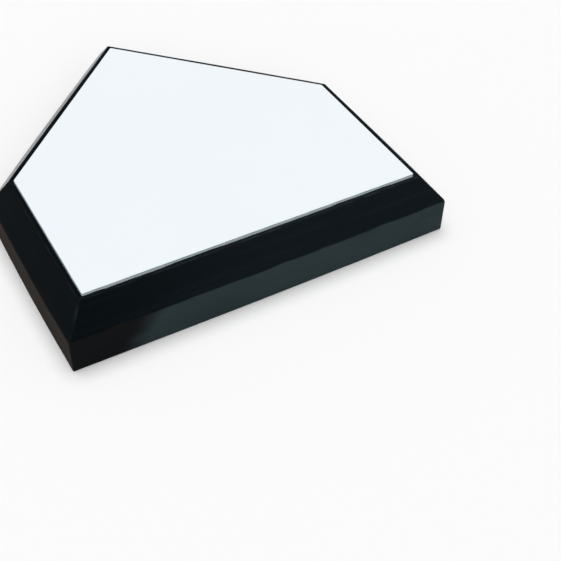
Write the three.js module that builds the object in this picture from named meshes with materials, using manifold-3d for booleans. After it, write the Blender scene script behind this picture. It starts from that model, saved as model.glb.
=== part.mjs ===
// Wood-filled home plate. A white rubber playing slab is seated in the top of a bevelled black
// rubber shell, and the hollow under the shell is filled flush with edge-glued softwood planks.
// Millimetres, +Z up, +Y towards the apex. The origin is under the middle of the plate's box.

import * as THREE from 'three';
import { mergeVertices } from 'three/addons/utils/BufferGeometryUtils.js';
import Module from 'manifold-3d';

const wasm = await Module();
wasm.setup();

// Playing slab
const PLATE_WIDTH = 431.8;
const SIDE_LENGTH = 215.9;
const APEX_REACH = 215.9;
const SLAB_THICKNESS = 8;
const SLAB_PROUD = 1.6;
const SLAB_CORNER_RADIUS = 1.5;
const SLAB_EDGE_CHAMFER = 0.6;

// Rubber shell
const SKIRT_HEIGHT = 46;
const SKIRT_DRAFT = 0.4;
const BEVEL_RUN = 25;
const BEVEL_DROP = 30.8;
const RIM_WIDTH = 6;
const RIM_RADIUS = 2;
const RIDGE_RADIUS = 8;
const GUTTER_DEPTH = 2.6;
const SHELL_CORNER_RADIUS = 2.5;
const SHELL_WALL = 8;
const DECK_THICKNESS = 6;
const BOND_GAP = 0.3;

// Wood core: boards laid from the right, closed on the left by a strip that tapers to nothing
const PLANK_WIDTHS = [53, 53, 53, 55, 53, 53, 53, 54, 39];
const PLANK_COLOURS = [
  0xe08a3c, 0xdc8232, 0xe6943f, 0xa55a2a, 0xe0893a, 0xdb7f31, 0xc28f45, 0xd5752b, 0xdf873a,
];
const CLOSING_STRIP_COLOUR = 0xd67a30;
const CLOSING_STRIP_LEAST_WIDTH = 6;
const CLOSING_STRIP_LENGTH = 156;
const CORE_CORNER_RADIUS = 2;
const GLUE_GAP = 0.3;

// Facets that round each upright corner, and the ridge and the rim
const CORNER_STEPS = 5;
const EDGE_STEPS = 4;

// Heights of the shell's faces and the slab's seat
const rimHeight = SKIRT_HEIGHT + BEVEL_DROP;
const slabBase = rimHeight + SLAB_PROUD - SLAB_THICKNESS;
const deckTop = slabBase - BOND_GAP;
const deckUnderside = deckTop - DECK_THICKNESS;

// The slab's corners, anticlockwise from the front left, with the front edge on Y = 0
const pentagon = [
  new THREE.Vector2(-PLATE_WIDTH / 2, 0),
  new THREE.Vector2(PLATE_WIDTH / 2, 0),
  new THREE.Vector2(PLATE_WIDTH / 2, SIDE_LENGTH),
  new THREE.Vector2(0, SIDE_LENGTH + APEX_REACH),
  new THREE.Vector2(-PLATE_WIDTH / 2, SIDE_LENGTH),
];

// Outward normal of the edge that starts at the given corner
function edgeNormal(index) {
  const start = pentagon.at(index);
  const end = pentagon[(index + pentagon.length + 1) % pentagon.length];
  const along = end.clone().sub(start).normalize();
  return new THREE.Vector2(along.y, -along.x);
}

// The pentagon grown by an offset, its corners rounded to a radius, as points at one height
function outlineRing(offset, radius, height) {
  return pentagon.flatMap((corner, index) => {
    const before = edgeNormal(index - 1);
    const after = edgeNormal(index);
    const reach = (offset - radius) / (1 + before.dot(after));
    const centre = before.clone().add(after).multiplyScalar(reach).add(corner);
    const turn = Math.acos(before.dot(after));
    return Array.from({ length: CORNER_STEPS + 1 }, (_, step) => {
      const angle = before.angle() + (turn * step) / CORNER_STEPS;
      const x = centre.x + radius * Math.cos(angle);
      const y = centre.y + radius * Math.sin(angle);
      return new THREE.Vector3(x, y, height);
    });
  });
}

// Closed solid through a run of rings, from the bottom to the top, with flat ends
function loft(rings) {
  const count = rings[0].length;
  const top = (rings.length - 1) * count;
  const triangles = [];
  for (let level = 0; level < rings.length - 1; level++) {
    for (let i = 0; i < count; i++) {
      const a = level * count + i;
      const b = level * count + ((i + 1) % count);
      triangles.push(a, b, b + count, a, b + count, a + count);
    }
  }
  for (let i = 1; i < count - 1; i++) {
    triangles.push(0, i + 1, i, top, top + i, top + i + 1);
  }
  const geometry = new THREE.BufferGeometry().setFromPoints(rings.flat());
  geometry.setIndex(triangles);
  geometry.computeVertexNormals();
  return geometry;
}

function toSolid(geometry) {
  const bare = geometry.clone();
  bare.deleteAttribute('normal');
  bare.deleteAttribute('uv');
  const merged = mergeVertices(bare);
  return new wasm.Manifold(new wasm.Mesh({
    numProp: 3,
    vertProperties: new Float32Array(merged.attributes.position.array),
    triVerts: new Uint32Array(merged.index.array),
  }));
}

function toGeometry(solid) {
  const mesh = solid.getMesh();
  const geometry = new THREE.BufferGeometry();
  geometry.setAttribute('position', new THREE.BufferAttribute(mesh.vertProperties, 3));
  geometry.setIndex(new THREE.BufferAttribute(mesh.triVerts, 1));
  geometry.computeVertexNormals();
  return geometry;
}

// A wall profile is a run of points: X is the offset from the slab's edge, Y the height.
// From the rim's crest the shell falls to a shallow gutter round the slab.
const gutterFoot = new THREE.Vector2(0, rimHeight - GUTTER_DEPTH);
const rimCorner = new THREE.Vector2(RIM_WIDTH, rimHeight);
const ridgeCorner = new THREE.Vector2(RIM_WIDTH + BEVEL_RUN, SKIRT_HEIGHT);
const baseCorner = new THREE.Vector2(ridgeCorner.x + SKIRT_DRAFT, 0);

// Points that round a profile's corner between its two straight neighbours
function roundCorner(from, corner, to, radius) {
  const back = from.clone().sub(corner).normalize();
  const ahead = to.clone().sub(corner).normalize();
  const reach = radius / Math.tan(Math.acos(back.dot(ahead)) / 2);
  const start = back.multiplyScalar(reach).add(corner);
  const end = ahead.multiplyScalar(reach).add(corner);
  return new THREE.QuadraticBezierCurve(start, corner, end).getPoints(EDGE_STEPS);
}

// The straight line that lies a depth inside the profile's run from one point to the next
function insetLine(from, to, depth) {
  const along = to.clone().sub(from).normalize();
  const inward = new THREE.Vector2(-along.y, along.x).multiplyScalar(depth);
  return { point: from.clone().add(inward), along };
}

function pointAtHeight(line, height) {
  return line.along.clone().multiplyScalar((height - line.point.y) / line.along.y).add(line.point);
}

function meetingPoint(first, second) {
  const apart = second.point.clone().sub(first.point);
  const distance = apart.cross(second.along) / first.along.cross(second.along);
  return first.along.clone().multiplyScalar(distance).add(first.point);
}

// Profile of the core that lies a depth inside the shell's outer faces, up to a height
function coreProfile(depth, height) {
  const skirt = insetLine(baseCorner, ridgeCorner, depth);
  const bevel = insetLine(ridgeCorner, rimCorner, depth);
  return [pointAtHeight(skirt, 0), meetingPoint(skirt, bevel), pointAtHeight(bevel, height)];
}

function coreSolid(profile) {
  return toSolid(loft(profile.map((point) => outlineRing(point.x, CORE_CORNER_RADIUS, point.y))));
}

function slabGeometry() {
  const top = SLAB_THICKNESS;
  return loft([
    outlineRing(0, SLAB_CORNER_RADIUS, 0),
    outlineRing(0, SLAB_CORNER_RADIUS, top - SLAB_EDGE_CHAMFER),
    outlineRing(-SLAB_EDGE_CHAMFER, SLAB_CORNER_RADIUS, top),
  ]);
}

function shellGeometry() {
  const ridge = roundCorner(baseCorner, ridgeCorner, rimCorner, RIDGE_RADIUS);
  const rim = roundCorner(ridgeCorner, rimCorner, gutterFoot, RIM_RADIUS);
  const profile = [baseCorner, ...ridge, ...rim, gutterFoot];
  const outer = profile.map((point) => outlineRing(point.x, SHELL_CORNER_RADIUS, point.y));
  const pocketRadius = SLAB_CORNER_RADIUS + BOND_GAP;
  const pocket = loft([
    outlineRing(BOND_GAP, pocketRadius, deckTop),
    outlineRing(BOND_GAP, pocketRadius, rimHeight + SLAB_PROUD),
  ]);
  const cavity = coreSolid(coreProfile(SHELL_WALL, deckUnderside));
  return toGeometry(toSolid(loft(outer)).subtract(toSolid(pocket)).subtract(cavity));
}

// Straight-sided block between two seams, each given by its X at the core's front and back
function seamBlock(right, left, front, back) {
  const plan = new THREE.Shape([
    new THREE.Vector2(left.front, front),
    new THREE.Vector2(right.front, front),
    new THREE.Vector2(right.back, back),
    new THREE.Vector2(left.back, back),
  ]);
  return toSolid(new THREE.ExtrudeGeometry(plan, { depth: rimHeight, bevelEnabled: false }));
}

function shifted(seam, distance) {
  return { front: seam.front + distance, back: seam.back + distance };
}

// Planks from right to left, each with its name, colour and geometry
function corePlanks() {
  const profile = coreProfile(SHELL_WALL + BOND_GAP, deckUnderside - BOND_GAP);
  const core = coreSolid(profile);
  const halfWidth = PLATE_WIDTH / 2 + profile[0].x;
  const front = -profile[0].x;
  const back = SIDE_LENGTH + APEX_REACH + 2 * profile[0].x;

  const boards = [];
  let right = { front: halfWidth, back: halfWidth };
  let width = PLANK_WIDTHS[0];
  while (right.front - width > CLOSING_STRIP_LEAST_WIDTH - halfWidth) {
    const left = shifted(right, -width);
    boards.push({ right, left, colour: PLANK_COLOURS[boards.length % PLANK_COLOURS.length] });
    right = left;
    width = PLANK_WIDTHS[boards.length % PLANK_WIDTHS.length];
  }

  // The closing strip's seam meets the left wall at the strip's length from the front
  const taper = (right.front + halfWidth) / CLOSING_STRIP_LENGTH;
  const closingSeam = { front: right.front, back: right.front - taper * (back - front) };
  boards.at(-1).left = closingSeam;
  const beyond = Math.min(-PLATE_WIDTH, 2 * closingSeam.back);
  boards.push({ right: closingSeam, left: { front: beyond, back: beyond }, colour: CLOSING_STRIP_COLOUR });

  return boards.map(({ right: rightSeam, left: leftSeam, colour }, index) => {
    const block = seamBlock(shifted(rightSeam, -GLUE_GAP / 2), shifted(leftSeam, GLUE_GAP / 2), front, back);
    const closing = index === boards.length - 1;
    const name = closing ? 'closing_strip' : `core_plank_${String(index + 1).padStart(2, '0')}`;
    return { name, colour, geometry: toGeometry(core.intersect(block)) };
  });
}

function namedMesh(name, geometry, colour, roughness) {
  const material = new THREE.MeshStandardMaterial({ color: colour, roughness, metalness: 0 });
  const mesh = new THREE.Mesh(geometry, material);
  mesh.name = name;
  return mesh;
}

const playingSlab = namedMesh('playing_slab', slabGeometry(), 0xeef4f8, 0.5);
playingSlab.position.z = slabBase;

const woodCore = new THREE.Group();
for (const plank of corePlanks()) {
  woodCore.add(namedMesh(plank.name, plank.geometry, plank.colour, 0.6));
}

const assembly = new THREE.Group();
assembly.add(namedMesh('rubber_shell', shellGeometry(), 0x1a1f23, 0.55));
assembly.add(playingSlab);
assembly.add(woodCore);

// Moves the front edge from Y = 0 so that the origin lies under the middle of the box
const footprint = new THREE.Box3().setFromPoints(
  outlineRing(baseCorner.x, SHELL_CORNER_RADIUS, 0),
);
assembly.position.y = -footprint.getCenter(new THREE.Vector3()).y;

const homePlate = new THREE.Group();
homePlate.add(assembly);

export default homePlate;
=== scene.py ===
"""Looks of the wood-filled home plate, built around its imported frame. Metres, +Z up, +Y to the apex."""
import math
from dataclasses import dataclass

import bmesh
import bpy
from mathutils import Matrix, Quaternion, Vector, noise


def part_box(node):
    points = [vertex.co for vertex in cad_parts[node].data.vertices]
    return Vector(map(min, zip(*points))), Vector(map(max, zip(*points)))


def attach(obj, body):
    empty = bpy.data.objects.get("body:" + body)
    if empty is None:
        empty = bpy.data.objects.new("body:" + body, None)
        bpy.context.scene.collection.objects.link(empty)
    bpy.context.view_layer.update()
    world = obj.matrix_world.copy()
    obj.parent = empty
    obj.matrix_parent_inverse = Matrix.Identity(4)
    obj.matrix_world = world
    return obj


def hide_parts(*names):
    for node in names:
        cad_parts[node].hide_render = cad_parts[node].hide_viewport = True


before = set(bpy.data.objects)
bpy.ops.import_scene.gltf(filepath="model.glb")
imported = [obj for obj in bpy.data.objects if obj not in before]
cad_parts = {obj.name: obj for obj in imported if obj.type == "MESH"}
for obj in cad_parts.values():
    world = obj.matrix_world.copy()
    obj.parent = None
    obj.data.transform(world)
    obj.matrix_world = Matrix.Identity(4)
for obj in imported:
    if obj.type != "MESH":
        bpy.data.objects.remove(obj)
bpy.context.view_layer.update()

MM = 0.001

# Camera, from the corners of the plate in a photograph of this many pixels each way. Angles in degrees
PHOTO_PIXELS = 561
FOCAL_PIXELS = 1013.4
SENSOR_WIDTH_MM = 36
CAMERA_PLACE = Vector((-0.4222, -0.9734, 0.8561))
CAMERA_AZIMUTH = -31.10
CAMERA_ELEVATION = 44.89
CAMERA_ROLL = 1.95
CAMERA_CLIP_START = 0.01

# Sizes of the slab and the shell that the frame's boxes don't give
SIDE_LENGTH = 215.9 * MM
APEX_REACH = 215.9 * MM
SLAB_CORNER_RADIUS = 1.5 * MM
SLAB_EDGE_RADIUS = 0.7 * MM
SKIRT_HEIGHT = 46 * MM
SKIRT_DRAFT = 0.4 * MM
BEVEL_RUN = 25 * MM
BEVEL_DROP = 30.8 * MM
RIM_WIDTH = 6 * MM
RIM_RADIUS = 2 * MM
RIDGE_RADIUS = 8 * MM
GUTTER_DEPTH = 2.6 * MM
SHELL_CORNER_RADIUS = 1.6 * MM
SHELL_WALL = 8 * MM
DECK_THICKNESS = 6 * MM
BASE_EDGE_RADIUS = 1.2 * MM
CORE_CORNER_RADIUS = 2 * MM
BOND_GAP = 0.3 * MM

# Traces of moulding: sides that bow out, a stepped lip of flash, an uneven skin and a ragged base
SIDE_BOW = 1.6 * MM
LIP_THICKNESS = 0.5 * MM
LIP_FOOT = 0.9 * MM
LIP_HEIGHT = 0.05 * MM
LIP_OUTER_SHARE = 0.8
LIP_STEP_RISE = 0.8 * MM
LIP_STEP_LENGTH = 62 * MM
LIP_STEP_FROM = 0.04
LIP_STEP_SPREAD = 0.1
LIP_FRAY = 0.25 * MM
LIP_FRAY_LENGTH = 9 * MM
SKIN_DEPTH = 0.12 * MM
SKIN_LENGTH = 34 * MM
TOP_WAVE = 0.1 * MM
TOP_WAVE_LENGTH = 90 * MM
BASE_RAGGED = 0.5 * MM
BASE_RAGGED_LENGTH = 7 * MM

# The slab's top: how far in from its edge the rings lie, and how many of them stay flat
TOP_INSETS = [inset * MM for inset in (1.6, 3, 8, 20, 45, 80, 120)]
FLAT_TOP_RINGS = 2

# Boards: eased long edges, and undersides set back by a sine, turned in radians from board to board
PLANK_ARRIS = 0.2 * MM
PLANK_RECESS = 0.15 * MM
RECESS_TURN = 2.4

# Points of a board that are welded, points of its underside, and edges that count as long
WELD_REACH = 0.01 * MM
UNDERSIDE_REACH = 0.1 * MM
LONG_EDGE = 10 * MM

# Facets, with angles in degrees
CORNER_STEPS = 8
SIDE_STEPS = 160
ROUND_STEPS = 6
FACE_STEPS = 7
CREST_STEPS = 3
SLAB_SIDE_STEPS = 5
ARRIS_STEPS = 2
FLAT_ANGLE = 1
SHARP_ANGLE = 40

slab_low, slab_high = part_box("playing_slab")
front_y = slab_low.y
half_width = slab_high.x
slab_top_z = slab_high.z
deck_top_z = slab_low.z - BOND_GAP


# Outlines and lofts

def plate_corners():
    """The playing slab's corners, anticlockwise from the front left."""
    shoulder_y = front_y + SIDE_LENGTH
    return [
        Vector((-half_width, front_y)),
        Vector((half_width, front_y)),
        Vector((half_width, shoulder_y)),
        Vector((0.0, shoulder_y + APEX_REACH)),
        Vector((-half_width, shoulder_y)),
    ]


def edge_normal(corners, index):
    along = (corners[(index + 1) % len(corners)] - corners[index]).normalized()
    return Vector((along.y, -along.x))


def side_shares():
    """Shares along a side, half evenly spaced and half drawn to its ends."""
    shares = []
    for step in range(1, SIDE_STEPS):
        even = step / SIDE_STEPS
        drawn = (1 - math.cos(math.pi * even)) / 2
        shares.append((even + drawn) / 2)
    return shares


def outline(offset, radius, bow=0.0):
    """The pentagon grown by offset, as plan points: rounded corners and sides that bow outward."""
    corners = plate_corners()
    arcs = []
    for index, corner in enumerate(corners):
        before = edge_normal(corners, index - 1)
        after = edge_normal(corners, index)
        centre = corner + (before + after) * (offset - radius) / (1 + before.dot(after))
        start = math.atan2(before.y, before.x)
        turn = math.acos(before.dot(after))
        angles = [start + turn * step / CORNER_STEPS for step in range(CORNER_STEPS + 1)]
        arcs.append([centre + radius * Vector((math.cos(a), math.sin(a))) for a in angles])
    points = []
    for index, arc in enumerate(arcs):
        points.extend(arc)
        normal = edge_normal(corners, index)
        end = arcs[(index + 1) % len(arcs)][0]
        for share in side_shares():
            swell = bow * 4 * share * (1 - share)
            points.append(arc[-1].lerp(end, share) + normal * swell)
    return points


def ring(offset, radius, z, bow=0.0):
    return [Vector((p.x, p.y, z)) for p in outline(offset, radius, bow)]


def loft(name, rings):
    """A closed mesh through the rings in order, with a flat cap on the first and the last."""
    count = len(rings[0])
    mesh = bpy.data.meshes.new(name)
    faces = []
    for level in range(len(rings) - 1):
        for i in range(count):
            a = level * count + i
            b = level * count + (i + 1) % count
            faces.append((a, b, b + count, a + count))
    last = (len(rings) - 1) * count
    faces.append(tuple(range(count - 1, -1, -1)))
    faces.append(tuple(range(last, last + count)))
    mesh.from_pydata([p for r in rings for p in r], [], faces)
    mesh.validate()
    return mesh


def at_corner(index):
    """Whether a ring's point of this index lies on a rounded corner."""
    return index % (CORNER_STEPS + SIDE_STEPS) <= CORNER_STEPS


def add_float(mesh, name, values):
    attribute = mesh.attributes.new(name, "FLOAT", "POINT")
    attribute.data.foreach_set("value", values)


def add_piece(name, mesh, material, node):
    piece = bpy.data.objects.new(name, mesh)
    bpy.context.scene.collection.objects.link(piece)
    mesh.materials.clear()
    mesh.materials.append(material)
    mesh.shade_smooth()
    mesh.set_sharp_from_angle(angle=math.radians(SHARP_ANGLE))
    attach(piece, "root")
    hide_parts(node)


# Wall profiles: pairs of the offset from the slab's edge and the height

def straight(start, end, steps):
    """Points between two ends, without the ends."""
    return [start.lerp(end, step / steps) for step in range(1, steps)]


def rounded(before, corner, after, radius):
    """Points of an arc that rounds a profile's corner."""
    back = (before - corner).normalized()
    ahead = (after - corner).normalized()
    half = back.angle(ahead) / 2
    centre = corner + (back + ahead).normalized() * radius / math.sin(half)
    start = corner + back * radius / math.tan(half) - centre
    end = corner + ahead * radius / math.tan(half) - centre
    sweep = start.angle_signed(end)
    points = []
    for step in range(ROUND_STEPS + 1):
        turn = -sweep * step / ROUND_STEPS
        x = start.x * math.cos(turn) - start.y * math.sin(turn)
        y = start.x * math.sin(turn) + start.y * math.cos(turn)
        points.append(centre + Vector((x, y)))
    return points


def inset_line(start, end, depth):
    """A line's point and direction, moved this far to its left."""
    along = (end - start).normalized()
    return start + Vector((-along.y, along.x)) * depth, along


def at_height(line, height):
    point, along = line
    return point + along * (height - point.y) / along.y


def meeting(first, second):
    apart = second[0] - first[0]
    cross = first[1].x * second[1].y - first[1].y * second[1].x
    reach = (apart.x * second[1].y - apart.y * second[1].x) / cross
    return first[0] + first[1] * reach


# Shell

rim_corner = Vector((RIM_WIDTH, SKIRT_HEIGHT + BEVEL_DROP))
gutter_foot = Vector((0.0, rim_corner.y - GUTTER_DEPTH))
ridge_corner = Vector((RIM_WIDTH + BEVEL_RUN, SKIRT_HEIGHT))
base_corner = Vector((ridge_corner.x + SKIRT_DRAFT, 0.0))


def inner_profile():
    """Cavity ceiling, inner wall and the inner edge of the base."""
    skirt_line = inset_line(base_corner, ridge_corner, SHELL_WALL)
    bevel_line = inset_line(ridge_corner, rim_corner, SHELL_WALL)
    return [
        at_height(bevel_line, deck_top_z - DECK_THICKNESS),
        meeting(skirt_line, bevel_line),
        at_height(skirt_line, BASE_EDGE_RADIUS),
        at_height(skirt_line, 0.0) + Vector((BASE_EDGE_RADIUS / 2, 0.0)),
    ]


def outer_profile():
    """Base edge, skirt, ridge, bevel, rim and gutter: points with their shares of scuffs with painted
    highlight, and of painted reflection.
    """
    lip_foot = gutter_foot.lerp(rim_corner, LIP_FOOT / RIM_WIDTH)
    base = rounded(Vector((0.0, 0.0)), base_corner, ridge_corner, BASE_EDGE_RADIUS)
    ridge = rounded(base_corner, ridge_corner, rim_corner, RIDGE_RADIUS)
    rim = rounded(ridge_corner, rim_corner, lip_foot, RIM_RADIUS)
    # Rim's crest: share of scuffs and painted highlight
    crest_scuff_and_highlight = [math.sin(math.pi * step / ROUND_STEPS) for step in range(ROUND_STEPS + 1)]
    fading = [1 - step / ROUND_STEPS for step in range(ROUND_STEPS + 1)]
    profile = [(p, 0.0, 1.0) for p in base + straight(base[-1], ridge[0], FACE_STEPS)]
    profile += zip(ridge, [0.0] * len(ridge), fading)
    profile += [(p, 0.0, 0.0) for p in straight(ridge[-1], rim[0], FACE_STEPS)]
    profile += zip(rim, crest_scuff_and_highlight, [0.0] * len(rim))
    profile += [(p, 0.0, 0.0) for p in straight(rim[-1], lip_foot, CREST_STEPS) + [lip_foot]]
    return profile


def lip_height(p):
    """Height of the flash at a place: low, with stretches left standing between cut ends."""
    stands = (noise.noise(p / LIP_STEP_LENGTH) - LIP_STEP_FROM) / LIP_STEP_SPREAD
    stands = min(1.0, max(0.0, stands))
    fray = noise.noise(p / LIP_FRAY_LENGTH) * LIP_FRAY
    return LIP_HEIGHT + LIP_STEP_RISE * stands + fray


def lip_rings():
    """The thin lip of flash round the slab, from its outer foot over its crest to the pocket's floor."""
    outer = ring(LIP_THICKNESS, SLAB_CORNER_RADIUS, gutter_foot.y)
    inner = ring(BOND_GAP / 2, SLAB_CORNER_RADIUS, gutter_foot.y)
    for p, q in zip(outer, inner):
        rise = lip_height(q)
        p.z += LIP_OUTER_SHARE * rise
        q.z += rise
    pocket = ring(BOND_GAP, SLAB_CORNER_RADIUS, deck_top_z)
    return [outer, inner, pocket]


def roughen(mesh):
    """Uneven skin all over, and a ragged trimmed edge round the base."""
    normals = [vertex.normal.copy() for vertex in mesh.vertices]
    for vertex, normal in zip(mesh.vertices, normals):
        p = vertex.co.copy()
        skin = noise.noise(p / SKIN_LENGTH) * SKIN_DEPTH
        vertex.co = p + normal * skin
        if p.z < BASE_EDGE_RADIUS:
            ragged = noise.noise(p / BASE_RAGGED_LENGTH) * BASE_RAGGED
            vertex.co.z = max(0.0, p.z + ragged * p.z / BASE_EDGE_RADIUS)


def shell_mesh():
    """The moulded body in one skin, with its rim crest and corners marked for scuffs and painted
    highlight, and its skirt for painted reflection.
    """
    inner = inner_profile()
    outer = outer_profile()
    rings = [ring(p.x, CORE_CORNER_RADIUS, p.y) for p in inner]
    for p, _, _ in outer:
        bow = SIDE_BOW * min(1.0, p.x / ridge_corner.x)
        rings.append(ring(p.x, SHELL_CORNER_RADIUS, p.y, bow))
    rings += lip_rings()
    mesh = loft("moulded_shell", rings)
    roughen(mesh)
    points = range(len(rings[0]))
    plain = (0.0, 0.0, 0.0)
    marks = [plain] * len(inner) + [(crest_scuff_and_highlight, skirt_reflection, 1 - skirt_reflection) for _, crest_scuff_and_highlight, skirt_reflection in outer]
    marks += [plain] * (len(rings) - len(marks))
    # Marks per point: scuffs with a painted highlight on the rim's crest, painted reflection on the skirt,
    # and scuffs with a painted highlight at the corners
    add_float(mesh, "edge", [crest_scuff_and_highlight for crest_scuff_and_highlight, _, _ in marks for _ in points])
    add_float(mesh, "skirt", [skirt_reflection for _, skirt_reflection, _ in marks for _ in points])
    add_float(mesh, "corner_scuff_and_highlight", [corner_scuff_and_highlight * at_corner(i) for _, _, corner_scuff_and_highlight in marks for i in points])
    return mesh


# Slab

def slab_mesh():
    """The white pentagon: a squared edge with an eased arris, and a top that isn't dead flat."""
    side_top = Vector((0.0, slab_top_z))
    base = Vector((0.0, slab_low.z))
    top = [Vector((-inset, slab_top_z)) for inset in TOP_INSETS]
    edge = rounded(base, side_top, top[0], SLAB_EDGE_RADIUS)
    side = [base] + straight(base, edge[0], SLAB_SIDE_STEPS) + edge
    rings = [ring(p.x, SLAB_CORNER_RADIUS, p.y) for p in side + top]
    for level in rings[len(side) + FLAT_TOP_RINGS:]:
        for p in level:
            p.z -= TOP_WAVE * (0.5 + 0.5 * noise.noise(p / TOP_WAVE_LENGTH))
    mesh = loft("playing_face", rings)
    points = range(len(rings[0]))
    add_float(mesh, "side", [float(level < len(side)) for level in range(len(rings)) for _ in points])
    return mesh


# Planks

def recess_at(place):
    """How far the board in this place is set back, a little differently from the next."""
    return PLANK_RECESS * (0.5 + 0.5 * math.sin(place * RECESS_TURN))


def plank_mesh(node, recess):
    """The board's solid: facets joined, underside set back by the recess, and its long edges eased."""
    shape = bmesh.new()
    shape.from_mesh(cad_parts[node].data)
    bmesh.ops.remove_doubles(shape, verts=shape.verts, dist=WELD_REACH)
    flat = math.radians(FLAT_ANGLE)
    bmesh.ops.dissolve_limit(shape, angle_limit=flat, verts=shape.verts, edges=shape.edges)
    under = [v for v in shape.verts if v.co.z < UNDERSIDE_REACH]
    edges = [e for e in shape.edges if e.calc_length() > LONG_EDGE and all(v in under for v in e.verts)]
    for vertex in under:
        vertex.co.z += recess
    bmesh.ops.bevel(
        shape, geom=edges, offset=PLANK_ARRIS, segments=ARRIS_STEPS, profile=0.5, affect="EDGES",
    )
    bmesh.ops.remove_doubles(shape, verts=shape.verts, dist=WELD_REACH)
    mesh = bpy.data.meshes.new(node + "_board")
    shape.to_mesh(mesh)
    shape.free()
    return mesh


# Materials

# A noise's pattern lies about its middle, and seldom outside these
NOISE_LOW = 0.3
NOISE_MIDDLE = 0.5
NOISE_HIGH = 0.7

# Sockets of a colour mix, by number because their names repeat
MIX_SHARE = 0
MIX_FIRST = 6
MIX_SECOND = 7
MIX_RESULT = 2


class Graph:
    """One material's nodes, joined as they are added."""

    def __init__(self, name):
        self.material = bpy.data.materials.new(name)
        self.material.use_nodes = True
        self.tree = self.material.node_tree
        self.shader = self.tree.nodes["Principled BSDF"]

    def add(self, kind, inputs=None, **settings):
        node = self.tree.nodes.new(kind)
        for key, value in settings.items():
            setattr(node, key, value)
        for key, value in (inputs or {}).items():
            self.set(node, key, value)
        return node

    def set(self, node, key, value):
        if isinstance(value, bpy.types.NodeSocket):
            self.tree.links.new(value, node.inputs[key])
        else:
            node.inputs[key].default_value = value

    def place(self):
        return self.add("ShaderNodeTexCoord").outputs["Object"]

    def axes(self):
        return self.add("ShaderNodeSeparateXYZ", {"Vector": self.place()}).outputs

    def attribute(self, name):
        return self.add("ShaderNodeAttribute", attribute_name=name).outputs["Fac"]

    def noise(self, waves, detail=3.0, roughness=0.5):
        """Pattern of a noise with so many waves per metre along X, Y and Z."""
        scaled = self.add("ShaderNodeMapping", {"Vector": self.place(), "Scale": waves}).outputs["Vector"]
        inputs = {"Vector": scaled, "Scale": 1.0, "Detail": detail, "Roughness": roughness}
        return self.add("ShaderNodeTexNoise", inputs).outputs["Fac"]

    def math(self, operation, *values):
        return self.add("ShaderNodeMath", dict(enumerate(values)), operation=operation).outputs[0]

    def times(self, first, *others):
        for other in others:
            first = self.math("MULTIPLY", first, other)
        return first

    def sway(self, value, pattern, reach):
        """Value pushed up and down by a noise's pattern, over this reach in all."""
        return self.math("MULTIPLY_ADD", self.math("SUBTRACT", pattern, NOISE_MIDDLE), reach, value)

    def length(self, **axes):
        """Length of the vector with these values along its axes."""
        vector = self.add("ShaderNodeCombineXYZ", axes).outputs[0]
        return self.add("ShaderNodeVectorMath", {0: vector}, operation="LENGTH").outputs["Value"]

    def ramp(self, value, low, high, to_low=0.0, to_high=1.0):
        """Value between low and high, eased to the range from to_low to to_high."""
        inputs = {"Value": value, "From Min": low, "From Max": high, "To Min": to_low, "To Max": to_high}
        return self.add("ShaderNodeMapRange", inputs, interpolation_type="SMOOTHSTEP").outputs["Result"]

    def spread(self, pattern, low, high):
        """A noise's pattern eased to the range from low to high."""
        return self.ramp(pattern, NOISE_LOW, NOISE_HIGH, low, high)

    def mix(self, share, first, second):
        """The first colour, and as much of the second as the share says."""
        node = self.add("ShaderNodeMix", data_type="RGBA")
        self.set(node, MIX_SHARE, share)
        self.set(node, MIX_FIRST, colour(first))
        self.set(node, MIX_SECOND, colour(second))
        return node.outputs[MIX_RESULT]

    def bump(self, height, distance, strength, normal=None):
        inputs = {"Height": height, "Distance": distance, "Strength": strength}
        if normal is not None:
            inputs["Normal"] = normal
        return self.add("ShaderNodeBump", inputs).outputs["Normal"]

    def finish(self, **inputs):
        """Sets the shader's inputs, whose names have _ for a space, and gives the material."""
        for key, value in inputs.items():
            self.set(self.shader, key.replace("_", " "), value)
        return self.material


def colour(value):
    """A colour with its alpha, or a socket as it is."""
    return (*value, 1) if isinstance(value, tuple) else value


# Black rubber: colours, noises, and the places where each mark is gone and full

RUBBER_DARK = (0.0010, 0.0018, 0.0024)
RUBBER_LIGHT = (0.0024, 0.0038, 0.0046)
# Painted light: a paler black standing in for more light on the right of the bevel and rim
PAINTED_LIGHT_TONE = (0.0052, 0.0072, 0.0100)
STREAK = (0.0068, 0.0098, 0.0132)
# Painted reflection on the skirt, and painted shade where it gives way at the left end of the front
SKIRT_REFLECTION_TONE = (0.028, 0.042, 0.045)
SKIRT_SHADE_TONE = (0.0062, 0.0060, 0.0063)
# Painted reflection: warm brown on the left side
LEFT_REFLECTION_TONE = (0.0245, 0.0180, 0.0135)
# Scuffs, and a painted highlight on the rim's crest and down the corners
SCUFF_AND_HIGHLIGHT = (0.021, 0.027, 0.034)
SPECK = (0.06, 0.06, 0.06)
BASE_CHIP = (0.09, 0.11, 0.11)
RUBBER_GLOSS = (0.6, 0.92, 1.0, 1)

CLOUD_WAVES = (14, 14, 14)
STREAK_WAVES = (5, 5, 190)
PATCH_WAVES = (9, 9, 26)
# Sways the border of the painted reflection on the skirt
SKIRT_REFLECTION_EDGE_WAVES = (24, 24, 24)
SCUFF_WAVES = (60, 60, 60)
SPECK_WAVES = (420, 420, 420)
BASE_CHIP_WAVES = (230, 230, 230)
RUBBER_GRAIN_WAVES = (900, 900, 900)
RUBBER_GRAIN_DEPTH = 0.02 * MM
RUBBER_PEEL_WAVES = (170, 170, 170)
RUBBER_PEEL_DEPTH = 0.08 * MM

# Painted light: where the paler black on the right is gone and full along X
PAINTED_LIGHT_GONE_X = -240 * MM
PAINTED_LIGHT_FULL_X = 20 * MM
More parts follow.
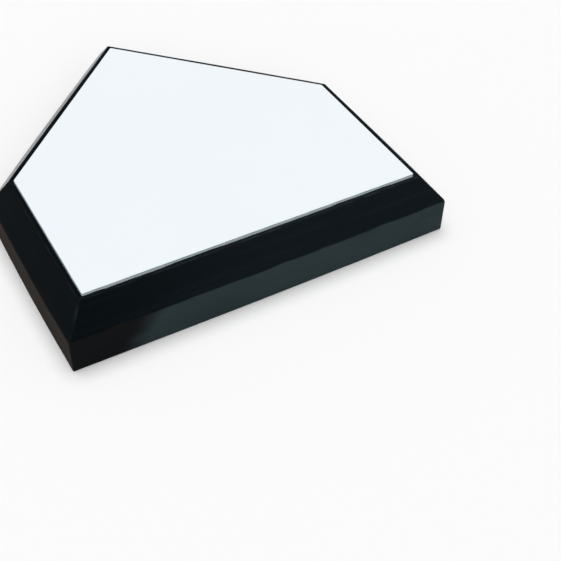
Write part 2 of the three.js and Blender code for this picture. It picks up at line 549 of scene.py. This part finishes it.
# Painted reflection on the skirt: where it gives way to painted shade at the front's left end, how that
# border leans and wanders, and how far from the front the painted shade reaches
SKIRT_REFLECTION_GONE_X = -206 * MM
SKIRT_REFLECTION_FULL_X = -166 * MM
SKIRT_REFLECTION_LEAN = -0.9
SKIRT_REFLECTION_WANDER = 60 * MM
SKIRT_SHADE_REACH_Y = 60 * MM
# Where the brown painted reflection on the left side is gone and full, beyond the slab's side
LEFT_REFLECTION_GONE_OFFSET = 30.2 * MM
LEFT_REFLECTION_FULL_OFFSET = 30.9 * MM
BASE_CHIP_FULL_Z = 0.6 * MM
BASE_CHIP_GONE_Z = 2.2 * MM
# Share of scuffs and painted highlight down the corners
CORNER_SCUFF_AND_HIGHLIGHT = 0.5


def bare_rubber(graph, cloud, right_light_share):
    """Clouded black, with painted light over it, paler towards the right, and faint level streaks that are
    strongest in that painted light.
    """
    tone = graph.mix(cloud, RUBBER_DARK, RUBBER_LIGHT)
    # Painted light: paler patches, more of them towards the right
    lit_patches = graph.times(right_light_share, graph.spread(cloud, 0.75, 1.0))
    tone = graph.mix(lit_patches, tone, PAINTED_LIGHT_TONE)
    streak = graph.ramp(graph.noise(STREAK_WAVES), 0.48, 0.72, 0.0, 0.6)
    streak = graph.times(graph.ramp(right_light_share, 0.0, 1.0, 0.2, 1.0), streak)
    return graph.mix(streak, tone, STREAK)


def painted_skirt_reflection(graph, tone):
    """Painted reflection on the skirt, a paler teal grey, giving way to painted shade at the left end of
    the front, and a warm brown painted reflection on the left side.
    """
    x, y, z = graph.axes()
    patchy = graph.noise(PATCH_WAVES)
    along_front = graph.sway(graph.math("MULTIPLY_ADD", z, SKIRT_REFLECTION_LEAN, x), patchy, SKIRT_REFLECTION_WANDER)
    # Painted reflection kept, painted shade at the front's left end
    reflection_kept = graph.ramp(along_front, SKIRT_REFLECTION_GONE_X, SKIRT_REFLECTION_FULL_X)
    reflection_kept = graph.math("MAXIMUM", reflection_kept, graph.ramp(y, front_y, front_y + SKIRT_SHADE_REACH_Y))
    # Painted reflection: warm brown, on the left side only
    left_reflection_share = graph.ramp(x, -half_width - LEFT_REFLECTION_FULL_OFFSET, -half_width - LEFT_REFLECTION_GONE_OFFSET, 1.0, 0.0)
    # Painted reflection on the skirt, with painted shade at the front's left end and a brown painted
    # reflection on the left side
    skirt_reflection = graph.mix(left_reflection_share, graph.mix(reflection_kept, SKIRT_SHADE_TONE, SKIRT_REFLECTION_TONE), LEFT_REFLECTION_TONE)
    skirt = graph.sway(graph.attribute("skirt"), graph.noise(SKIRT_REFLECTION_EDGE_WAVES, detail=2), 1.0)
    skirt = graph.ramp(skirt, 0.35, 0.75)
    return graph.mix(graph.times(skirt, graph.ramp(patchy, 0.25, 0.7, 0.75, 1.0)), tone, skirt_reflection)


def scuffed_and_highlit(graph, tone, right_light_share):
    """Scuffs with a painted highlight on the rim's crest, strongest in the painted light on the right, the
    same down the corners, and specks all over.
    """
    scuff = graph.ramp(graph.noise(SCUFF_WAVES), 0.35, 0.7, 0.15, 1.0)
    # Scuffs and painted highlight on the rim's crest, and down the corners above the skirt
    rim = graph.times(graph.attribute("edge"), graph.ramp(right_light_share, 0.0, 1.0, 0.4, 0.75))
    corner = graph.times(graph.attribute("corner_scuff_and_highlight"), CORNER_SCUFF_AND_HIGHLIGHT)
    scuff_and_highlight_share = graph.times(graph.math("MAXIMUM", rim, corner), scuff)
    tone = graph.mix(scuff_and_highlight_share, tone, SCUFF_AND_HIGHLIGHT)
    speck = graph.ramp(graph.noise(SPECK_WAVES, detail=1), 0.74, 0.8, 0.0, 0.2)
    return graph.mix(speck, tone, SPECK)


def chipped(graph, tone):
    """Pale chips along the bottom edge."""
    near_base = graph.ramp(graph.axes()["Z"], BASE_CHIP_FULL_Z, BASE_CHIP_GONE_Z, 1.0, 0.0)
    chip = graph.ramp(graph.noise(BASE_CHIP_WAVES, detail=1), 0.69, 0.72, 0.0, 0.8)
    return graph.mix(graph.times(near_base, chip), tone, BASE_CHIP)


def black_rubber():
    graph = Graph("black_rubber")
    cloud = graph.noise(CLOUD_WAVES, detail=4)
    # Painted light: a share that grows towards the right
    right_light_share = graph.ramp(graph.axes()["X"], PAINTED_LIGHT_GONE_X, PAINTED_LIGHT_FULL_X)
    tone = bare_rubber(graph, cloud, right_light_share)
    # Painted reflection and painted shade on the skirt
    tone = painted_skirt_reflection(graph, tone)
    # Scuffs with painted highlight on the rim's crest and corners
    tone = scuffed_and_highlit(graph, tone, right_light_share)
    tone = chipped(graph, tone)
    grain = graph.noise(RUBBER_GRAIN_WAVES, detail=2)
    peel = graph.noise(RUBBER_PEEL_WAVES, detail=2)
    normal = graph.bump(grain, RUBBER_GRAIN_DEPTH, strength=0.6)
    normal = graph.bump(peel, RUBBER_PEEL_DEPTH, strength=0.5, normal=normal)
    return graph.finish(
        Base_Color=tone,
        Roughness=graph.spread(cloud, 0.78, 0.88),
        Normal=normal,
        Specular_IOR_Level=0.04,
        Specular_Tint=RUBBER_GLOSS,
        Sheen_Weight=graph.ramp(graph.attribute("skirt"), 0.0, 0.6, 1.0, 0.0),
        Sheen_Roughness=0.2,
    )


# White rubber: colours, noises, and the depths below the top between which the trim line is dirtiest

WHITE_DARK = (0.857, 0.905, 0.94)
WHITE_LIGHT = (0.886, 0.932, 0.966)
# Painted shade on the slab's side, then the dirt of its trim line
SIDE_SHADE = (0.78, 0.90, 0.95)
TRIM_DIRT = (0.24, 0.31, 0.35)

WHITE_CLOUD_WAVES = (7, 7, 7)
SIDE_PATCH_WAVES = (60, 60, 240)
WHITE_GRAIN_WAVES = (1100, 1100, 1100)
WHITE_GRAIN_DEPTH = 0.015 * MM
WHITE_PEEL_WAVES = (120, 120, 120)
WHITE_PEEL_DEPTH = 0.06 * MM

TRIM_FULL_FROM = 0.3 * MM
TRIM_FULL_TO = 1.2 * MM
TRIM_GONE = 1.7 * MM


def side_shade_and_trim(graph, tone):
    """Painted shade in patches on the slab's side, with a darker line of dirt along the trim."""
    side = graph.attribute("side")
    side_patches = graph.noise(SIDE_PATCH_WAVES)
    # Painted shade on the side, in patches
    tone = graph.mix(graph.times(side, graph.spread(side_patches, 0.5, 1.0)), tone, SIDE_SHADE)
    depth = graph.math("SUBTRACT", slab_top_z, graph.axes()["Z"])
    line = graph.times(
        side,
        graph.ramp(depth, 0.0, TRIM_FULL_FROM),
        graph.ramp(depth, TRIM_FULL_TO, TRIM_GONE, 1.0, 0.0),
        graph.ramp(side_patches, 0.3, 0.6, 0.5, 0.9),
    )
    return graph.mix(line, tone, TRIM_DIRT)


def white_rubber():
    graph = Graph("white_rubber")
    tone = graph.mix(graph.noise(WHITE_CLOUD_WAVES), WHITE_DARK, WHITE_LIGHT)
    tone = side_shade_and_trim(graph, tone)
    grain = graph.noise(WHITE_GRAIN_WAVES, detail=2)
    peel = graph.noise(WHITE_PEEL_WAVES, detail=2)
    normal = graph.bump(grain, WHITE_GRAIN_DEPTH, strength=0.5)
    normal = graph.bump(peel, WHITE_PEEL_DEPTH, strength=0.35, normal=normal)
    return graph.finish(
        Base_Color=tone,
        Roughness=graph.spread(peel, 0.46, 0.56),
        Normal=normal,
        Specular_IOR_Level=0.12,
    )


# Wood: how a board is described, its colours and its noises

@dataclass
class Knot:
    """A knot's place, half its width and length in mm, its colour and the strength of its red halo."""
    x: float
    y: float
    across: float
    along: float
    tone: tuple
    halo: float = 0.45


@dataclass
class Band:
    """A stripe along a board between two places across it, and how soft its sides are, in mm.

    It leans by a share of its length. Each of its fades is a pair of places along Y in mm:
    where it is gone and where it is full.
    """
    start: float
    end: float
    soft: float
    tone: tuple
    strength: float
    lean: float = 0.0
    fades: tuple = ()


@dataclass
class Board:
    """A board's early and late wood, its growth rings, and what marks it. Places and widths in mm."""
    tone: tuple
    late: tuple
    pith_aside: float
    pith_above: float
    climb: float
    ring_width: float
    contrast: float
    knots: tuple = ()
    bands: tuple = ()


ORANGE_LATE = (0.50, 0.10, 0.010)
GOLDEN_LATE = (0.5, 0.16, 0.020)
RED_LATE = (0.36, 0.05, 0.008)
PALE_ORANGE = (0.69, 0.215, 0.024)
CLEAR_ORANGE = (0.68, 0.215, 0.018)
DEEP_ORANGE = (0.66, 0.155, 0.016)
EDGE_RED = (0.31, 0.038, 0.010)
MAROON = (0.12, 0.010, 0.010)
AMBER = (0.64, 0.20, 0.030)
OLIVE = (0.38, 0.16, 0.034)
DARK_OLIVE = (0.25, 0.115, 0.028)
TAN = (0.60, 0.26, 0.058)
KNOT_DARK = (0.05, 0.008, 0.006)
KNOT_RED = (0.30, 0.018, 0.008)
STREAK_RED = (0.43, 0.045, 0.010)
WOOD_CHIP = (0.85, 0.62, 0.36)

# Shares of a board's own colour where it is blotched dark and light
BLOTCH_DARK = (0.93, 0.82, 0.65)
BLOTCH_LIGHT = (1.04, 1.12, 1.25)

RING_WANDER_WAVES = (16, 3, 16)
RING_WANDER = 9 * MM
RING_PATCH_WAVES = (45, 5, 45)
RING_DEPTH = 0.08 * MM
FIBRE_WAVES = (1100, 22, 1100)
FIBRE_DEPTH = 0.05 * MM
BLOTCH_WAVES = (26, 9, 26)
WOOD_STREAK_WAVES = (190, 4, 190)

# A stripe's sides sway and fade over these multiples of its softness, and wander no further than the limit
BAND_WANDER_WAVES = (30, 7, 30)
BAND_FEATHER_WAVES = (560, 5, 560)
BAND_SWAY = 4
BAND_FADE = 0.6
BAND_WANDER_LIMIT_MM = 7

# How far a knot reaches, in sizes of its outline: full, gone, its halo gone and the rings no longer bent
KNOT_FULL = 0.6
KNOT_SIZE = 1.1
HALO_SIZE = 2.2
BENT_SIZE = 3.5
KNOT_BEND = 9 * MM
KNOT_RAGGED_WAVES = (260, 130, 260)
KNOT_RAGGED = 1.4

STAIN_WAVES = (40, 9, 40)
STAIN_FULL_INSET = 0.3 * MM
STAIN_GONE_INSET = 2 * MM

BOARDS = {
    "core_plank_01": Board(
        (0.66, 0.210, 0.021), ORANGE_LATE,
        pith_aside=42, pith_above=30, climb=0.04, ring_width=5, contrast=0.25,
    ),
    "core_plank_02": Board(
        (0.66, 0.230, 0.023), ORANGE_LATE,
        pith_aside=-30, pith_above=40, climb=0.05, ring_width=6, contrast=0.25,
        knots=(Knot(141, -177, 12, 8.5, KNOT_DARK), Knot(135.5, -158, 3, 20, KNOT_RED)),
        bands=(Band(120, 136, 1.2, EDGE_RED, 0.75),),
    ),
    "core_plank_03": Board(
        (0.77, 0.272, 0.034), ORANGE_LATE,
        pith_aside=8, pith_above=12, climb=0.06, ring_width=5, contrast=0.3,
    ),
    "core_plank_04": Board(
        (0.39, 0.088, 0.0115), RED_LATE,
        pith_aside=-70, pith_above=20, climb=0.03, ring_width=3, contrast=0.8,
        knots=(Knot(79.3, -63.5, 1.8, 1.6, WOOD_CHIP, halo=0.0),),
        bands=(
            Band(0, 37.5, 3, PALE_ORANGE, 1.0),
            Band(37, 46, 4, OLIVE, 0.8),
            Band(37, 54, 5, OLIVE, 0.8, fades=((-30, 60),)),
            Band(72.4, 74.1, 1.2, AMBER, 0.6, lean=-0.03, fades=((-100, -130),)),
            Band(52, 58, 3, STREAK_RED, 0.5, fades=((0, -60),)),
            Band(64.6, 67.2, 1.2, MAROON, 0.75, lean=-0.116, fades=((-45, -5),)),
            Band(71, 95, 3, EDGE_RED, 0.95),
            Band(73, 95, 3, MAROON, 0.85, fades=((-30, 60),)),
            Band(77.5, 95, 1.5, MAROON, 0.75),
        ),
    ),
    "core_plank_05": Board(
        (0.76, 0.242, 0.023), RED_LATE,
        pith_aside=14, pith_above=9, climb=0.05, ring_width=3.6, contrast=0.35,
        knots=(Knot(14.4, -163.8, 1.8, 3, KNOT_RED), Knot(15.2, -184, 1.8, 3, MAROON)),
        bands=(
            Band(7, 24.5, 2, DEEP_ORANGE, 0.6, fades=((-60, 20),)),
            Band(12.3, 13.2, 0.6, RED_LATE, 0.6, lean=0.057),
            Band(-0.2, 0.8, 0.6, RED_LATE, 0.7, fades=((-120, -160),)),
            Band(19.4, 20.2, 0.6, RED_LATE, 0.5, lean=0.02, fades=((-90, -150),)),
        ),
    ),
    "core_plank_06": Board(
        (0.70, 0.240, 0.028), ORANGE_LATE,
        pith_aside=-40, pith_above=24, climb=0.04, ring_width=4.5, contrast=0.35,
        knots=(
            Knot(-67, -77, 7, 9, KNOT_RED, halo=0.6),
            Knot(-65, -52, 2, 7, STREAK_RED),
            Knot(-69, -95, 2.5, 5, STREAK_RED),
        ),
    ),
    "core_plank_07": Board(
        (0.73, 0.34, 0.050), GOLDEN_LATE,
        pith_aside=-60, pith_above=15, climb=0.03, ring_width=4, contrast=0.5,
        bands=(
            Band(-119, -106, 4, TAN, 0.85, fades=((-45, 20),)),
            Band(-110.2, -60, 6, OLIVE, 0.85, lean=0.19, fades=((-140, -50),)),
            Band(-150, -117.5, 5, DARK_OLIVE, 0.8, fades=((-130, -70),)),
            Band(-150, -126, 3, OLIVE, 0.85, fades=((-225, -150),)),
            Band(-94.5, -92, 1, DARK_OLIVE, 0.6, fades=((-40, 0),)),
            Band(-103, -101.5, 1, TAN, 0.7, fades=((-30, 0),)),
            Band(-87.5, -60, 1, CLEAR_ORANGE, 0.85, fades=((-95, -125),)),
            Band(-88.4, -87.2, 0.6, RED_LATE, 0.7, fades=((-80, -120),)),
            Band(-82.6, -60, 0.8, RED_LATE, 0.8, fades=((-55, -80),)),
            Band(-150, -127.4, 1.2, MAROON, 0.97, lean=-0.013),
        ),
    ),
    "core_plank_08": Board(
        (0.69, 0.183, 0.019), RED_LATE,
        pith_aside=35, pith_above=45, climb=0.05, ring_width=6, contrast=0.2,
    ),
    "core_plank_09": Board(
        (0.71, 0.275, 0.040), ORANGE_LATE,
        pith_aside=-25, pith_above=30, climb=0.05, ring_width=5, contrast=0.25,
        bands=(
            Band(-204.5, -194, 2, STREAK_RED, 0.95, lean=0.085, fades=((-75, -25), (14, -6))),
            Band(-199.6, -198, 1.2, RED_LATE, 0.9, lean=0.085, fades=((-150, -90), (-20, -50))),
        ),
    ),
    "closing_strip": Board(
        (0.62, 0.160, 0.018), RED_LATE,
        pith_aside=30, pith_above=40, climb=0.05, ring_width=5, contrast=0.3,
        bands=(Band(-248, -246, 0.8, RED_LATE, 0.9, lean=0.078),),
    ),
}


def knot_reach(graph, knot, size):
    """1 at a knot's middle, fading to 0 at size times its outline."""
    x, y, _ = graph.axes()
    across = graph.math("DIVIDE", graph.math("SUBTRACT", x, knot.x * MM), knot.across * MM)
    along = graph.math("DIVIDE", graph.math("SUBTRACT", y, knot.y * MM), knot.along * MM)
    ragged = graph.sway(graph.length(X=across, Y=along), graph.noise(KNOT_RAGGED_WAVES), KNOT_RAGGED)
    return graph.ramp(ragged, KNOT_FULL, size, 1.0, 0.0)


def growth_rings(graph, board, middle):
    """Late wood, from none to full, in rings round a pith that climbs through the board."""
    x, y, z = graph.axes()
    aside = graph.math("SUBTRACT", x, middle + board.pith_aside * MM)
    above = graph.math("SUBTRACT", z, graph.math("MULTIPLY_ADD", y, board.climb, board.pith_above * MM))
    radius = graph.length(X=aside, Z=above)
    radius = graph.math("MULTIPLY_ADD", graph.noise(RING_WANDER_WAVES), RING_WANDER, radius)
    bent = 0.0
    for knot in board.knots:
        bent = graph.math("MAXIMUM", knot_reach(graph, knot, BENT_SIZE), bent)
    radius = graph.math("MULTIPLY_ADD", bent, KNOT_BEND, radius)
    turn = graph.math("FRACT", graph.math("DIVIDE", radius, board.ring_width * MM))
    rise = graph.ramp(turn, 0.25, 0.9)
    fall = graph.ramp(turn, 0.92, 1.0, 1.0, 0.0)
    uneven = graph.ramp(graph.noise(RING_PATCH_WAVES, detail=2), 0.35, 0.65, 0.15, 1.0)
    return graph.times(rise, fall, uneven)


def band_share(graph, band):
    """Strength of a stripe inside it, softened and wandering at its two sides."""
    x, y, _ = graph.axes()
    sway = BAND_SWAY * band.soft
    leaning = graph.math("MULTIPLY_ADD", y, band.lean, x)
    leaning = graph.sway(leaning, graph.noise(BAND_WANDER_WAVES), min(BAND_WANDER_LIMIT_MM, sway) * MM)
    leaning = graph.sway(leaning, graph.noise(BAND_FEATHER_WAVES), sway * MM)
    soft = BAND_FADE * band.soft
    inside = graph.ramp(leaning, (band.start - soft) * MM, (band.start + soft) * MM)
    outside = graph.ramp(leaning, (band.end - soft) * MM, (band.end + soft) * MM, 1.0, 0.0)
    fades = [graph.ramp(y, gone * MM, full * MM) for gone, full in band.fades]
    return graph.times(inside, outside, band.strength, *fades)


def edge_stain(graph, low, high):
    """A broken stain along a board's two long edges."""
    x = graph.axes()["X"]
    right = graph.ramp(x, high.x - STAIN_GONE_INSET, high.x - STAIN_FULL_INSET)
    left = graph.ramp(x, low.x + STAIN_FULL_INSET, low.x + STAIN_GONE_INSET, 1.0, 0.0)
    broken = graph.ramp(graph.noise(STAIN_WAVES), 0.35, 0.65, 0.0, 0.7)
    return graph.times(graph.math("MAXIMUM", right, left), broken)


def tinted(tone, shares):
    return tuple(part * share for part, share in zip(tone, shares))


def plain_wood(graph, board, rings):
    """Blotched early wood with the rings of late wood in it."""
    blotch = graph.spread(graph.noise(BLOTCH_WAVES), 0.0, 1.0)
    tone = graph.mix(blotch, tinted(board.tone, BLOTCH_DARK), tinted(board.tone, BLOTCH_LIGHT))
    return graph.mix(graph.times(rings, board.contrast), tone, board.late)


def striped(graph, board, tone):
    """The board's own stripes, then fine streaks of late wood and of amber."""
    for band in board.bands:
        tone = graph.mix(band_share(graph, band), tone, band.tone)
    streak = graph.noise(WOOD_STREAK_WAVES, detail=4, roughness=0.6)
    tone = graph.mix(graph.ramp(streak, 0.5, 0.72, 0.0, board.contrast), tone, board.late)
    return graph.mix(graph.ramp(streak, 0.5, 0.28, 0.0, board.contrast), tone, AMBER)


def knotted(graph, board, tone):
    """The board's knots, each in its red halo."""
    for knot in board.knots:
        halo = graph.times(knot_reach(graph, knot, HALO_SIZE), knot.halo)
        tone = graph.mix(halo, tone, RED_LATE)
        tone = graph.mix(knot_reach(graph, knot, KNOT_SIZE), tone, knot.tone)
    return tone


def softwood(node, board):
    """Varnished board: growth rings, stripes, stained edges, knots and fibres."""
    low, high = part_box(node)
    graph = Graph(node + "_wood")
    rings = growth_rings(graph, board, (low.x + high.x) / 2)
    tone = plain_wood(graph, board, rings)
    tone = striped(graph, board, tone)
    tone = graph.mix(edge_stain(graph, low, high), tone, RED_LATE)
    tone = knotted(graph, board, tone)
    fibre = graph.noise(FIBRE_WAVES, roughness=0.6)
    tone = graph.mix(graph.ramp(fibre, 0.42, 0.75, 0.0, 0.4), tone, board.late)
    normal = graph.bump(fibre, FIBRE_DEPTH, strength=0.5)
    normal = graph.bump(rings, RING_DEPTH, strength=0.4, normal=normal)
    return graph.finish(
        Base_Color=tone,
        Roughness=graph.spread(fibre, 0.46, 0.6),
        Normal=normal,
        Specular_IOR_Level=0.12,
    )


# Stage, light and camera

FLOOR_REACH = 30.0
FLOOR_DROP = 0.2 * MM
FLOOR_TONE = (0.97, 0.97, 0.97, 1)
CONTACT_REACH = 0.5 * MM
WORLD_LEVEL = 0.2
WORLD_TONE = (1, 1, 1, 1)
BACKDROP_LEVEL = 0.965
OVERHEAD_FROM = Vector((0.0, 0.12, 1.0))
OVERHEAD_LEVEL = 0.6
FRONT_FROM = Vector((-0.2, -0.9, 0.8))
FRONT_LEVEL = 0.2
UNDER_FROM = Vector((0.1, -0.2, -1.0))
UNDER_LEVEL = 0.8
LAMP_SPREAD = 50


def floor_material():
    """Matt white, but clear from below and to what touches it, so that the underside is seen and lit."""
    graph = Graph("floor")
    graph.finish(Base_Color=FLOOR_TONE, Roughness=0.9, Specular_IOR_Level=0.0)
    behind = graph.add("ShaderNodeNewGeometry").outputs["Backfacing"]
    length = graph.add("ShaderNodeLightPath").outputs["Ray Length"]
    clear = graph.math("MAXIMUM", behind, graph.math("LESS_THAN", length, CONTACT_REACH))
    see_through = graph.add("ShaderNodeBsdfTransparent").outputs[0]
    blend = graph.add("ShaderNodeMixShader", {0: clear, 1: graph.shader.outputs[0], 2: see_through})
    graph.set(graph.tree.nodes["Material Output"], "Surface", blend.outputs[0])
    return graph.material


def make_floor():
    mesh = bpy.data.meshes.new("floor")
    signs = ((-1, -1), (1, -1), (1, 1), (-1, 1))
    corners = [(FLOOR_REACH * x, FLOOR_REACH * y, -FLOOR_DROP) for x, y in signs]
    mesh.from_pydata(corners, [], [(0, 1, 2, 3)])
    mesh.materials.append(floor_material())
    floor = bpy.data.objects.new("floor", mesh)
    bpy.context.scene.collection.objects.link(floor)


def make_lamp(name, towards, level):
    """A very soft lamp far away in this direction, which lights a level face to this level."""
    lamp = bpy.data.lights.new(name, "SUN")
    lamp.energy = level * math.pi / abs(towards.normalized().z)
    lamp.angle = math.radians(LAMP_SPREAD)
    sun = bpy.data.objects.new(name, lamp)
    sun.rotation_mode = "QUATERNION"
    sun.rotation_quaternion = towards.to_track_quat("Z", "Y")
    bpy.context.scene.collection.objects.link(sun)


def make_world():
    """Dim light from all round, which is as pale as the floor where it is seen or mirrored."""
    world = bpy.data.worlds.new("studio")
    bpy.context.scene.world = world
    world.use_nodes = True
    nodes = world.node_tree.nodes
    links = world.node_tree.links
    path = nodes.new("ShaderNodeLightPath")
    shown = path.outputs["Is Camera Ray"]
    for ray in ("Is Glossy Ray", "Is Transmission Ray"):
        either = nodes.new("ShaderNodeMath")
        either.operation = "MAXIMUM"
        links.new(shown, either.inputs[0])
        links.new(path.outputs[ray], either.inputs[1])
        shown = either.outputs[0]
    level = nodes.new("ShaderNodeMapRange")
    level.inputs["To Min"].default_value = WORLD_LEVEL
    level.inputs["To Max"].default_value = BACKDROP_LEVEL
    links.new(shown, level.inputs["Value"])
    background = nodes["Background"]
    background.inputs["Color"].default_value = WORLD_TONE
    links.new(level.outputs["Result"], background.inputs["Strength"])


def make_camera():
    data = bpy.data.cameras.new("camera")
    data.sensor_width = SENSOR_WIDTH_MM
    data.lens = SENSOR_WIDTH_MM * FOCAL_PIXELS / PHOTO_PIXELS
    data.clip_start = CAMERA_CLIP_START
    camera = bpy.data.objects.new("camera", data)
    azimuth = math.radians(CAMERA_AZIMUTH)
    elevation = math.radians(CAMERA_ELEVATION)
    level = math.cos(elevation)
    back = Vector((math.sin(azimuth) * level, -math.cos(azimuth) * level, math.sin(elevation)))
    roll = Quaternion((0, 0, 1), math.radians(CAMERA_ROLL))
    camera.rotation_mode = "QUATERNION"
    camera.rotation_quaternion = (-back).to_track_quat("-Z", "Y") @ roll
    camera.location = CAMERA_PLACE
    bpy.context.scene.collection.objects.link(camera)
    bpy.context.scene.camera = camera


bpy.context.scene.view_settings.view_transform = "Standard"
make_camera()
make_world()
make_lamp("overhead", OVERHEAD_FROM, OVERHEAD_LEVEL)
make_lamp("front", FRONT_FROM, FRONT_LEVEL)
make_lamp("underneath", UNDER_FROM, UNDER_LEVEL)
make_floor()
add_piece("moulded_shell", shell_mesh(), black_rubber(), "rubber_shell")
add_piece("playing_face", slab_mesh(), white_rubber(), "playing_slab")
for place, (node, board) in enumerate(BOARDS.items()):
    add_piece(node + "_board", plank_mesh(node, recess_at(place)), softwood(node, board), node)
